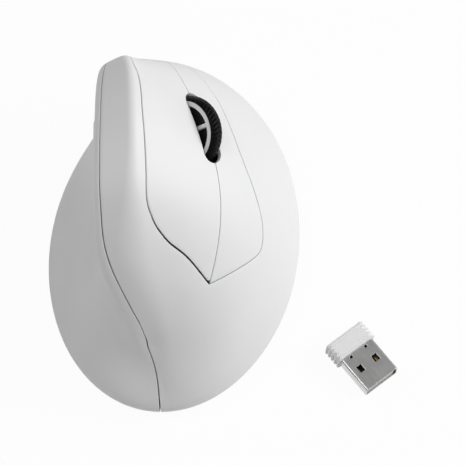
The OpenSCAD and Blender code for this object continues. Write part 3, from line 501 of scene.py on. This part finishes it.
# %% The outline of the keys, the seam between them and the slot of the wheel
seam_gap = 0.36
roll = 0.12
key_left = [[-28.3, 37], [-28, 33], [-27, 28], [-26, 14], [-21.6, -5], [-16.6, -12], [-9, -16.6], [0, -19.6],
            [10.2, -24.4]]
key_right = [[10.2, -24.4], [16.5, -19.3], [22.4, -13.6], [23.6, -10], [22, -4.4], [18.3, 1.9], [9.9, 15.1],
             [3.7, 30.5], [0.2, 38.8], [-3, 46.5]]
key_seam = [[-12, 46], [-8.2, 28], [0.2, 8.4], [5.6, -8], [10.2, -24.4]]
key_front_p, key_front_low, key_front_gap, key_front_fall = -28, 8.5, 1.5, math.radians(11)
wheel_p, wheel_q, wheel_yaw, slot_w, slot_l = -4, 18.4, math.radians(22), 6.2, 22.2
KEY_SIDE = ((276, 449), (1.05, 2.98))
KEY_FRONT = ((396, 442), (1.2, 2.6))


def front_depth(p):
    """How far below the plane of the keys their front edge lies: it falls towards the right."""
    return key_front_low + math.tan(key_front_fall) * (p - key_front_p)


def closed_on_skin(drawn, extra, step):
    """A drawn loop found on the skin, and closed by the front edge where the face bends away."""
    uv = find_on_skin(drawn, face_at, (down_slope, forward), *KEY_SIDE)
    here = skin(uv[:, 0], uv[:, 1]) - face_at
    miss = np.linalg.norm(here @ np.stack((down_slope, forward), 1) - drawn, axis=1)
    keep = (miss < 0.05) & (here @ out_of_face > 0.2 - extra - front_depth(drawn[:, 0]))
    first = np.flatnonzero(keep & ~np.roll(keep, 1))[0]
    order = np.roll(np.arange(len(drawn)), -first)
    order = order[keep[order]]
    start, end = drawn[order[-1], 0], drawn[order[0], 0]
    p = np.linspace(start, end, max(4, round(abs(end - start) / step)))[1:-1]
    front = np.stack([p, -front_depth(p) - extra], 1)
    edge = find_on_skin(front, face_at, (down_slope, out_of_face), *KEY_FRONT)
    return np.concatenate([uv[order], edge])


def slot_half(side, wider):
    """Half of the slot's outline, from its front end to its rear end, on the left (-1) or the right (1)."""
    r, h = slot_w / 2 + wider, (slot_l - slot_w) / 2
    a = np.linspace(0, math.pi / 2, 14)
    front = np.stack([side * r * np.sin(a), h + r * np.cos(a)], 1)
    flat = np.concatenate([front, (front * [1, -1])[::-1]])
    c, s = math.cos(wheel_yaw), math.sin(wheel_yaw)
    return flat @ np.array([[c, s], [-s, c]]) + [wheel_p, wheel_q]


print("the keys' front edge lies", key_front_low, "mm below their plane on the left")
print("and", round(front_depth(0), 1), "mm below it in the middle")

# %% [markdown]
# ## The palm shell
# The larger half of the casing carries the strip along the ridge, the face around the keys, the palm side and the
# heel. On the chart it is one region: the whole right side and, on the left, only the strip above the lip. The
# spine and the front station appear twice on the chart, and welding joins them again into one skin. The opening for
# the keys is the keys' own outline, grown by half the gap of the seam. The seam to the thumb shell is a path drawn on
# the skin and smoothed in space, and each edge is looked up as the nearest points half a gap to its side. The wall is
# thin here, because the left key goes down along a leaning edge and needs room.

# %% Palm shell
seam_front = 117.5
seam_path = [[252.5, 0], [252.5, 0.9], [253.4, 1.2], [256, 1.4], [260.5, 1.6], [265.5, 1.8], [267.5, 2], [266, 2.4],
             [259, 2.8], [248, 3.15], [235, 3.4], [222, 3.5], [212, 3.45], [204, 3.3], [196, 3.1], [186, 3],
             [172, 2.96], [150, 2.96], [seam_front, 2.96]]
half_gap = seam_gap / 2 + roll
wall = 1.3


def line_u(v, first, last, count):
    return np.stack([np.linspace(first, last, count), np.full(count, v)], 1)


def line_v(u, first, last, count):
    return np.stack([np.full(count, float(u)), np.linspace(first, last, count)], 1)


def slopes(uv):
    """Points of the skin, and how they move with the station and with the height."""
    u, v = uv.T
    du = (skin(u + 0.1, v) - skin(u - 0.1, v)) / 0.2
    dv = (skin(u, v + 0.005) - skin(u, v - 0.005)) / 0.01
    return skin(u, v), du, dv


def nearest_on_skin(points, guess):
    """Stations and heights of the skin's points nearest to these points, reached from a guess in small steps."""
    uv = guess
    for _ in range(25):
        here, du, dv = slopes(uv)
        slope = np.stack([du, dv], -1)
        back = np.swapaxes(slope, 1, 2)
        step = np.linalg.solve(back @ slope + np.diag([1e-4, 1e-2]), back @ (points - here)[..., None])[..., 0]
        uv = np.clip(uv + np.clip(step, [-3, -0.15], [3, 0.15]), [0, 0], [720, 4])
    return uv


def beside(line, by):
    """A line of stations and heights, moved to its left on the skin by a distance in millimetres."""
    here, du, dv = slopes(line)
    side = unit(np.cross(np.cross(du, dv), np.gradient(here, axis=0)))
    return nearest_on_skin(here + by * side, line)


def ended(line, corner):
    """The line cut short before a corner at its far end, and led into it."""
    return np.concatenate([line[line[:, 0] > corner[0] + 0.6], [corner]])


seam = smooth_line(seam_path)
seam = spaced(seam, 0.5, skin(*seam.T))
run = skin(*seam.T)
for _ in range(10):
    run[1:-1] = (run[:-2] + 2 * run[1:-1] + run[2:]) / 4
seam = nearest_on_skin(run, seam)
lip = beside(seam, -half_gap)
front_edge = beside(line_v(seam_front + 360, 0, lip[-1, 1], 90), half_gap)
lip_first = front_edge[-1, 0] = math.floor(front_edge[-1, 0]) + 0.5
lip = ended(lip, front_edge[-1] - [360, 0])
spine_u = np.sort([*np.arange(lip_first - 359, lip_first, 1.0), 900 - lip_first])[::-1]
palm_loop = np.concatenate([
    line_u(0, lip[0, 0], front_edge[0, 0], 300)[:-1],
    front_edge[:-1],
    line_v(lip_first, front_edge[-1, 1], 4, 6),
    np.stack([spine_u, np.full(len(spine_u), 4.0)], 1),
    line_v(lip_first - 360, 4, lip[-1, 1], 6)[:-1],
    lip[:0:-1],
])
opening = grown(joined(spaced(smooth_line(key_left), 0.7), spaced(smooth_line(key_right), 0.7)), half_gap)
opening_uv = closed_on_skin(opening, key_front_gap, 0.7)
palm_wall = 0.6
points, faces = rolled_plate([unroll(palm_loop), unroll(opening_uv)], on_the_skin, 0.85, palm_wall, roll)
add_piece("palm_casing", points, faces, "housing", ["palm_shell"], "white_plastic")

# %% [markdown]
# ## The two keys
# Left and right key are cut from the same skin, so they continue the face without a step. Their shared seam runs
# into the slot of the wheel and leaves it again at the other end. Each is drawn in by about half the gap, which
# leaves the thin dark lines that outline them. The right key's lines are paler in the photograph, so it fits a little
# closer. The keys ride on their own bodies and rock about the pin near their rear tips.

# %% Left key and right key
def key_loop(side, step, wider):
    """Outline of one key on the face: its outer edge and the seam with half of the wheel's slot."""
    seam = smooth_line(key_seam)
    half = slot_half(side, wider)
    middle = np.concatenate([seam[seam[:, 1] > half[0, 1]], half, seam[seam[:, 1] < half[-1, 1]]])
    outer = smooth_line(key_left if side < 0 else key_right[::-1])
    return joined(spaced(outer[::-1], step), spaced(middle, step))


close_fit = 0.12
for side, word, closer in ((-1, "left", 0), (1, "right", close_fit)):
    drawn = grown(key_loop(side, 0.6, closer), closer - half_gap)
    points, faces = rolled_plate([unroll(closed_on_skin(drawn, 0, 0.6))], on_the_skin, 0.7, wall, roll)
    add_piece(word + "_key_plate", points, faces, word + "_key", [word + "_button"], "white_plastic")

# %% [markdown]
# ## The thumb shell
# The left half of the casing sweeps in under the ridge, so that the thumb finds a hollow, and out again to a flange
# on the desk. Two slots let the thumb buttons through. They are drawn flat on a plane along the thumb's wall, as
# stadiums, and found on the skin in the same way as the keys.

# %% Thumb shell
thumb_at = np.array([-21.9, 4.5, 53])
thumb_slope = math.radians(10)
thumb_back = np.array([0, -math.cos(thumb_slope), -math.sin(thumb_slope)])
thumb_up = np.array([0, -math.sin(thumb_slope), math.cos(thumb_slope)])
thumb_l, thumb_h, thumb_space, thumb_fit, thumb_out = 14.6, 5.4, 1.4, 0.3, 1.5


def stadium(length, height, count):
    """A long hole with round ends, as points on a plane."""
    r, h = height / 2, (length - height) / 2
    a = np.linspace(-math.pi / 2, math.pi / 2, count)
    right = np.stack([h + r * np.cos(a), r * np.sin(a)], 1)
    return np.concatenate([right, -right])


lip = beside(seam, half_gap)
front_edge = beside(line_v(seam_front, 0, lip[-1, 1], 90), -half_gap)
lip = ended(lip, front_edge[-1])
thumb_loop = np.concatenate([line_u(0, front_edge[0, 0], lip[0, 0], 180)[:-1], lip[:-1], front_edge[:0:-1]])
button_gap = (thumb_l + thumb_space) / 2
slots = []
for side in (-1, 1):
    hole = stadium(thumb_l + 2 * thumb_fit + 2 * roll, thumb_h + 2 * thumb_fit + 2 * roll, 14)
    hole = joined(spaced(np.concatenate([hole, hole[:1]]), 0.6)) + [side * button_gap, 0]
    slots.append(find_on_skin(hole, thumb_at, (thumb_back, thumb_up), (120, 250), (1.4, 2.85)))
points, faces = rolled_plate([unroll(thumb_loop), *map(unroll, slots)], on_the_skin, 0.85, wall, roll)
add_piece("thumb_casing", points, faces, "housing", ["thumb_shell"], "white_plastic")

# %% [markdown]
# ## The thumb buttons
# Forward and back are two caps with a soft crown that stand a little proud of the hollow. A cap is a stack of
# stadium rings, each drawn in and lifted a little more than the one below, which gives full control of the rounded
# edge. A collar behind the wall keeps the cap from falling out.

# %% Thumb buttons
def stacked(rings):
    """Faces between rings of equal length, closed at both ends."""
    n = len(rings[0])
    sides = [(k * n + i, k * n + (i + 1) % n, (k + 1) * n + (i + 1) % n, (k + 1) * n + i)
             for k in range(len(rings) - 1) for i in range(n)]
    last = (len(rings) - 1) * n
    return np.concatenate(rings), [tuple(range(n))[::-1], *sides, tuple(range(last, last + n))]


def thumb_cap(side):
    """Rings of a cap from its collar to its crown, in the thumb's own frame."""
    edge, collar, low, flange = 1.1, 1.0, -2.6, 1.0
    sizes = [(-collar, low - flange), (-collar, low), (0, low), (0, thumb_out - edge)]
    sizes += [(edge * (1 - math.cos(a)), thumb_out - edge * (1 - math.sin(a))) for a in np.linspace(0.25, 1.57, 6)]
    sizes += [(edge + 0.6, thumb_out + 0.05), (edge + 1.3, thumb_out + 0.07)]
    rings = []
    for inset, z in sizes:
        long = thumb_l - 2 * inset if inset >= 0 else thumb_l + thumb_space / 2
        flat = stadium(long, thumb_h - 2 * inset, 14) + [side * button_gap, 0]
        rings.append(thumb_at + flat @ np.stack([thumb_back, thumb_up]) + z * np.array([-1.0, 0, 0]))
    return stacked(rings)


for side, word in ((-1, "forward"), (1, "back")):
    points, faces = thumb_cap(side)
    body, node = word + "_thumb_button", word + "_button"
    add_piece(word + "_thumb_cap", points, faces, body, [node], "white_plastic", sharp=50)

# %% [markdown]
# ## The scroll wheel
# The wheel stands across the seam and leans with the face. Its tyre is black rubber with a fine slanting tread, its
# rim is a pale ring on five thin spokes, and a black disc behind the spokes is painted shade for the dark openings
# between them. Tyre and rim are turned shapes, so they are made as a lathe would make them: a profile that goes
# round an axle. The tread is real relief: the radius dips in narrow slanting grooves.

# %% The wheel's frame and a lathe
wheel_depth, tyre_r, tyre_w, crown_r, rim_r, rim_t = 5.3, 11, 5, 3.2, 9.6, 1.6
wheel_at = face_at + wheel_p * down_slope + wheel_q * forward - wheel_depth * out_of_face
axle = math.cos(wheel_yaw) * down_slope + math.sin(wheel_yaw) * forward
rolling = math.cos(wheel_yaw) * forward - math.sin(wheel_yaw) * down_slope


def turned(across, radius, count):
    """A closed profile turned about the axle: radius may depend on the angle."""
    angles = np.linspace(0, 2 * math.pi, count, endpoint=False)
    r = np.stack([np.asarray(radius(a), float) for a in angles])
    round_it = np.cos(angles)[:, None, None] * out_of_face + np.sin(angles)[:, None, None] * rolling
    points = wheel_at + r[..., None] * round_it + np.asarray(across)[None, :, None] * axle
    n = len(across)
    faces = [(a * n + i, a * n + (i + 1) % n, (a + 1) % count * n + (i + 1) % n, (a + 1) % count * n + i)
             for a in range(count) for i in range(n)]
    return points.reshape(-1, 3), faces


# %% Tyre
treads, tread_depth, slant = 48, 0.34, 0.07
crown_x = np.linspace(-tyre_w / 2, tyre_w / 2, 21)
tyre_x = np.concatenate([crown_x, [tyre_w / 2 - 0.1, 1.0, -1.0, -tyre_w / 2 + 0.1]])
tyre_inner = np.array([rim_r, rim_r, rim_r, rim_r])


def tyre_radius(angle):
    """Radius across the tyre at one angle, with the slanting grooves of the tread."""
    crown = tyre_r - crown_r + np.sqrt(crown_r**2 - crown_x**2)
    phase = (angle + slant * np.abs(crown_x)) * treads / (2 * math.pi)
    groove = np.clip(1.6 * np.cos(2 * math.pi * phase) - 0.5, 0, 1)
    fade = np.clip((tyre_w / 2 - 0.25 - np.abs(crown_x)) / 0.4, 0, 1)
    return np.concatenate([crown - tread_depth * groove * fade, tyre_inner])


points, faces = turned(tyre_x, tyre_radius, treads * 8)
add_piece("wheel_tread", points, faces, "wheel", ["wheel_tyre"], "rubber", sharp=60)

# %% Rim with its spokes
side = tyre_w / 2 - 0.2
rim_profile = [(-side, rim_r - 0.35), (-side + 0.15, rim_r - 0.05), (side - 0.15, rim_r - 0.05), (side, rim_r - 0.35),
               (side, rim_r - rim_t + 0.2), (side - 0.2, rim_r - rim_t), (-side + 0.2, rim_r - rim_t),
               (-side, rim_r - rim_t + 0.2)]
rim_x, rim_radius = np.array(rim_profile).T
points, faces = turned(rim_x, lambda a: rim_radius, 120)
# The black disc behind the spokes is painted shade for the dark openings between them; its thickness sets where the
# hub and the spokes stop.
hub_r, axle_r, shade_disc_t, spokes, spoke_w = 3, 0.9, 1.6, 5, 1.3
hub_x = np.array([-side + 0.15, -shade_disc_t / 2 - 0.05, -shade_disc_t / 2 - 0.05, -side + 0.15])
hub, hub_faces = turned(hub_x, lambda a: np.array([hub_r, hub_r, axle_r + 0.05, axle_r + 0.05]), 60)
faces += [tuple(i + len(points) for i in f) for f in hub_faces]
points = np.concatenate([points, hub])


def spoke(angle):
    """A bar from the hub to the rim with two chamfered long edges, as two rings of six corners."""
    low, high, c = -side + 0.3, -shade_disc_t / 2 - 0.15, 0.25
    half = spoke_w / 2
    corners = [(low, -half + c), (low, half - c), (low + c, half), (high, half), (high, -half), (low + c, -half)]
    out = math.cos(angle) * out_of_face + math.sin(angle) * rolling
    over = math.cos(angle) * rolling - math.sin(angle) * out_of_face
    section = wheel_at + np.array([x * axle + y * over for x, y in corners])
    return stacked([section + r * out for r in (hub_r - 0.2, rim_r - rim_t + 0.1)])


for k in range(spokes):
    bar, bar_faces = spoke(2 * math.pi * k / spokes)
    faces += [tuple(i + len(points) for i in f) for f in bar_faces]
    points = np.concatenate([points, bar])
add_piece("wheel_ring_and_spokes", points, faces, "wheel", ["wheel_rim"], "pale_plastic", sharp=32)

# %% [markdown]
# ## The receiver
# The receiver is a plug with a short cap. It lies on the desk beside the mouse, resting on the cap's bottom edge and
# the plug's tip, so its frame is turned and tipped a little. The cap has grip ribs at its sides that fade out under
# a flat panel on top. It is a stack of rounded rectangles along its length, and each ring dips where a groove runs.

# %% The receiver's frame and a rounded rectangle
plug_w, plug_h, plug_l, plug_t, plug_in, plug_corner = 12, 4.5, 12, 0.3, 2, 0.6
cap_w, cap_h, cap_l, cap_ribs, rib_depth, cap_corner = 14, 6.4, 6.2, 5, 0.4, 1.2
receiver_at, receiver_turn = (56.5, -34.5, 0), math.radians(-51)
receiver_tilt = math.atan((cap_h - plug_h) / 2 / plug_l)
receiver_frame = np.array(Matrix.Translation(receiver_at) @ Matrix.Rotation(receiver_turn, 4, "Z")
                          @ Matrix.Translation(((cap_l - plug_l) / 2, 0, 0)) @ Matrix.Rotation(receiver_tilt, 4, "Y")
                          @ Matrix.Translation((-cap_l, 0, 0)))


def in_receiver(points):
    return points @ receiver_frame[:3, :3].T + receiver_frame[:3, 3]


def rounded_rectangle(w, h, r, corner_n, side_n):
    """Points round a rectangle with round corners and the outward direction at each."""
    points, out = [], []
    for k in range(4):
        sx, sy = ((1, 1), (-1, 1), (-1, -1), (1, -1))[k]
        a = np.linspace(k * math.pi / 2, (k + 1) * math.pi / 2, corner_n)
        way = np.stack([np.cos(a), np.sin(a)], 1)
        points += [*(way * r + [sx * (w / 2 - r), sy * (h / 2 - r)])]
        out += [*way]
        nx, ny = ((-1, 1), (-1, -1), (1, -1), (1, 1))[k]
        end = way[-1] * r + [nx * (w / 2 - r), ny * (h / 2 - r)]
        points += [points[-1] * (1 - t) + end * t for t in np.linspace(0, 1, side_n + 2)[1:-1]]
        out += [way[-1]] * side_n
    return np.array(points), np.array(out)


# %% Ribbed cap
rib = cap_l / (2 * cap_ribs - 1)
ring, ring_out = rounded_rectangle(cap_w, cap_h, cap_corner, 7, 16)
end_round, slope = 0.45, 0.14
stations = [(end_round * (1 - math.sin(a)), end_round * (1 - math.cos(a)), -1) for a in np.linspace(1.57, 0, 5)]
stations = [(x, d, k) for d, x, k in stations]
for k in range(cap_ribs - 1):
    first, last = (2 * k + 1) * rib, (2 * k + 2) * rib
    stations += [(first - slope / 2, 0, k), (first + slope / 2, rib_depth, k)]
    stations += [(last - slope / 2, rib_depth, k), (last + slope / 2, 0, k)]
stations += [(cap_l - 0.12, 0, -1), (cap_l - 0.03, 0.04, -1), (cap_l, 0.14, -1)]


def groove_share(k):
    """How deep a groove is round the ring: middle ones stop at the panel on top, outer ones are fine lines."""
    on_top = np.clip((ring[:, 1] - cap_h / 2 + 0.5) / 0.4, 0, 1)
    panel = np.clip((cap_w / 2 - 0.9 - np.abs(ring[:, 0])) / 0.5, 0, 1) * on_top
    return 1 - panel * (0 if k < 0 else 0.7 if k in (0, cap_ribs - 2) else 1)


rings = []
for x, depth, k in stations:
    flat = ring - ring_out * (depth * groove_share(k))[:, None]
    rings.append(in_receiver(np.column_stack([np.full(len(flat), x), flat[:, 0], flat[:, 1] + cap_h / 2])))
points, faces = stacked(rings)
add_piece("receiver_ribbed_cap", points, faces, "housing", ["receiver_cap"], "white_plastic", sharp=30)

# %% [markdown]
# The plug is one sheet of steel folded into a sleeve. The fold ends in a fine open line along one top edge, and the
# sheet has two square windows, two punched marks and a small hole in its side. Unrolled, that is a flat plate with
# holes, so the plate maker from the casing does it: the chart is the flat sheet, and the lift folds it.

# %% Folded steel plug
side_flat, top_flat, bend = plug_h - 2 * plug_corner, plug_w - 2 * plug_corner, plug_corner * math.pi / 2
folds = np.cumsum([0, bend, top_flat, bend, side_flat, bend, top_flat, bend, side_flat])


def folded(chart):
    """The flat sheet, length by girth, folded round the plug."""
    x, s = chart.T
    part = np.clip(np.searchsorted(folds, s, "right") - 1, 0, 7)
    t = s - folds[part]
    turn = math.pi - np.where(part % 2 == 0, t / plug_corner, bend / plug_corner) - (part // 2) * math.pi / 2
    slide = np.where(part % 2 == 1, t, 0)
    centre = np.array([(-1, 1), (1, 1), (1, -1), (-1, -1)])[part // 2] * [top_flat / 2, side_flat / 2]
    flat = centre + plug_corner * np.stack([np.cos(turn), np.sin(turn)], 1)
    flat += slide[:, None] * np.stack([np.sin(turn), -np.cos(turn)], 1)
    return in_receiver(np.column_stack([x, flat[:, 0], flat[:, 1] + cap_h / 2]))


def window(x, s, w, h):
    box, _ = rounded_rectangle(w, h, 0.18, 4, 5)
    return box + [x, s]


plug_start, plug_end, plug_roll = cap_l - plug_in, cap_l + plug_l, 0.1
fold_gap = plug_roll + 0.12
fold_end = folds[-1] - fold_gap
edge = np.array([(plug_start, fold_gap), (plug_end, fold_gap), (plug_end, fold_end), (plug_start, fold_end)])
sheet = joined(*[spaced([edge[k], edge[(k + 1) % 4]], 0.3) for k in range(4)])
top_middle, under_middle = (folds[1] + folds[2]) / 2, (folds[5] + folds[6]) / 2
holes = [window(cap_l + 5.5, middle + y, 2.4, 2.0) for middle in (top_middle, under_middle) for y in (-2.9, 2.9)]
holes += [window(cap_l + 0.9, top_middle + y, 0.9, 1.1) for y in (-2.8, 2.8)]
holes.append(window(plug_end - 2.6, folds[-1] - 1.5, 1.0, 0.6))
points, faces = rolled_plate([sheet, *holes], folded, 0.3, plug_t, plug_roll)
add_piece("receiver_folded_plug", points, faces, "housing", ["receiver_shell"], "steel")

# %% [markdown]
# ## Pieces that keep their solids
# The base, the feet, the door, the boards, the switches and the pins already have their true shape. They only need
# their finish and a broken edge, because no moulded or stamped part has a perfectly sharp one. The record says which
# finish each piece takes.

# %% Finishes and broken edges for the solids
edge_break = 0.1 * MM
for part in frame["record"]["subparts"]:
    solid = frame["nodes"][part["node"]]
    solid.data.materials.clear()
    # The black disc behind the wheel's spokes takes its dark finish here, as painted shade for the openings between
    # the spokes.
    solid.data.materials.append(finishes["tongue" if part["node"] == "receiver_tongue" else part["material_slot"]])
    if not solid.hide_render:
        rounding = solid.modifiers.new("broken_edge", "BEVEL")
        rounding.width = edge_break
        rounding.segments = 2
        rounding.limit_method = "ANGLE"
        rounding.angle_limit = math.radians(40)
print("solids with a broken edge:", sum(not o.hide_render for o in frame["nodes"].values()))

# %% [markdown]
# ## The studio
# The picture is a catalogue shot on white. A pale floor carries the object's soft shadow, and to the camera it is
# mostly plain white, so the background stays clean without flooding the object with light. One broad lamp from the
# upper right models the face, and the strip and the hollow fall away into grey. A weaker one fills in from the left.

# %% Floor and world
floor_mesh = bpy.data.meshes.new("studio_floor")
floor_mesh.from_pydata([(x * 3, y * 3, 0) for x, y in ((-1, -1), (1, -1), (1, 1), (-1, 1))], [], [(0, 1, 2, 3)])
floor = bpy.data.objects.new("studio_floor", floor_mesh)
bpy.context.collection.objects.link(floor)
tree, shader, place = new_finish("studio_white")
shader.inputs["Base Color"].default_value = (0.85, 0.85, 0.85, 1)
shader.inputs["Roughness"].default_value = 0.9
glow = tree.nodes.new("ShaderNodeEmission")
glow.inputs["Color"].default_value = (1, 1, 1, 1)
path = tree.nodes.new("ShaderNodeLightPath")
seen = tree.nodes.new("ShaderNodeMath")
seen.operation = "MAXIMUM"
tree.links.new(path.outputs["Is Camera Ray"], seen.inputs[0])
tree.links.new(path.outputs["Is Glossy Ray"], seen.inputs[1])
share = tree.nodes.new("ShaderNodeMath")
share.operation = "MULTIPLY"
share.inputs[1].default_value = 0.95
tree.links.new(seen.outputs[0], share.inputs[0])
mix = tree.nodes.new("ShaderNodeMixShader")
tree.links.new(share.outputs[0], mix.inputs["Fac"])
tree.links.new(shader.outputs["BSDF"], mix.inputs[1])
tree.links.new(glow.outputs["Emission"], mix.inputs[2])
tree.links.new(mix.outputs["Shader"], tree.nodes["Material Output"].inputs["Surface"])
floor_mesh.materials.append(finishes["studio_white"])

world = bpy.context.scene.world or bpy.data.worlds.new("studio_world")
bpy.context.scene.world = world
world.use_nodes = True
sky = world.node_tree.nodes["Background"]
sky.inputs["Color"].default_value = (1, 1, 1, 1)
sky.inputs["Strength"].default_value = 0.17


# %% Lamps
def lamp(name, at, aim, size, power):
    light = bpy.data.lights.new(name, "AREA")
    light.shape = "RECTANGLE"
    light.size, light.size_y = size
    light.energy = power
    holder = bpy.data.objects.new(name, light)
    holder.location = at
    holder.rotation_euler = (Vector(aim) - Vector(at)).to_track_quat("-Z", "Y").to_euler()
    bpy.context.collection.objects.link(holder)


middle = (0, 0, 0.03)
lamp("key_lamp", (0.83, 0.10, 0.55), middle, (0.6, 0.6), 7.2)
lamp("left_fill", (-0.38, -0.05, 0.92), middle, (0.6, 0.6), 3.0)

# %% [markdown]
# ## The camera
# The photograph looks down at about 65 degrees from behind the mouse, from far away, so the perspective is weak. A
# long lens at a metre and a half gives the same flat drawing.

# %% Camera
camera_aim = Vector((17.65, 7.115, 3.318)) * MM
camera_height, camera_far = math.radians(65), 1.5
eye = bpy.data.cameras.new("photo_camera")
eye.sensor_width, eye.lens = 36, 381.6
camera = bpy.data.objects.new("photo_camera", eye)
camera.location = camera_aim + camera_far * Vector((0, -math.cos(camera_height), math.sin(camera_height)))
camera.rotation_euler = (camera_aim - camera.location).to_track_quat("-Z", "Y").to_euler()
bpy.context.collection.objects.link(camera)
bpy.context.scene.camera = camera
bpy.context.scene.view_settings.view_transform = "Standard"
